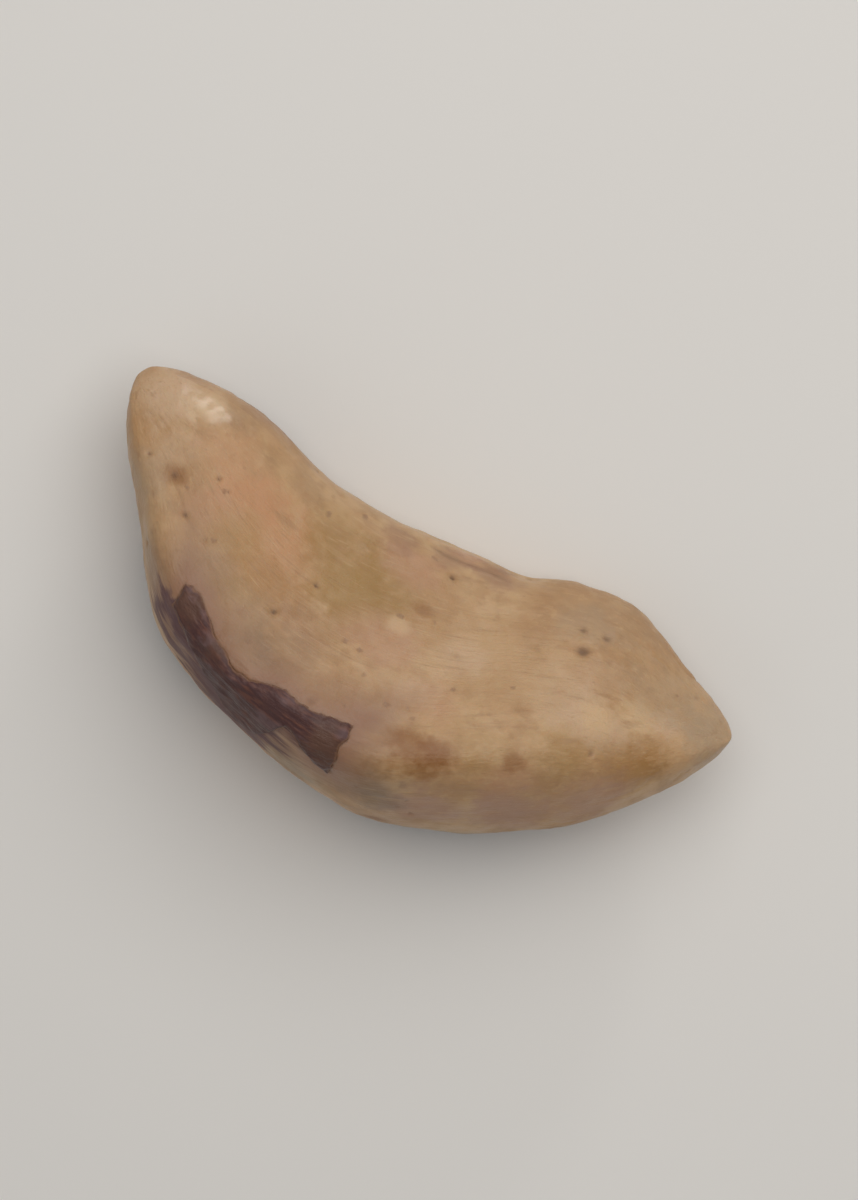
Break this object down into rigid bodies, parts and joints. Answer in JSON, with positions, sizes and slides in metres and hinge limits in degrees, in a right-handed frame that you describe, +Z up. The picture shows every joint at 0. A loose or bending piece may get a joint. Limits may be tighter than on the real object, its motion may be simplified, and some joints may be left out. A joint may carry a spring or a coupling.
{
  "type": "shelled brazil nut",
  "caption": "Crescent-shaped shelled nut kernel with a rounded triangular cross-section and torn remnants of thin brown skin, lying on a side face.",
  "frame": {"origin": "on the surface the nut lies on, under the middle of its box", "axes": "+X along the length from the narrow tip to the broad tip, +Y towards the hollow inner edge, +Z up from the side face the nut lies on"},
  "size_m": [0.0362, 0.0168, 0.0131],
  "materials": {
    "flesh": "waxy, half matt",
    "skin": "thin papery skin, half matt"
  },
  "bodies": {
    "root": {"kernel": "flesh"}
  },
  "joints": []
}
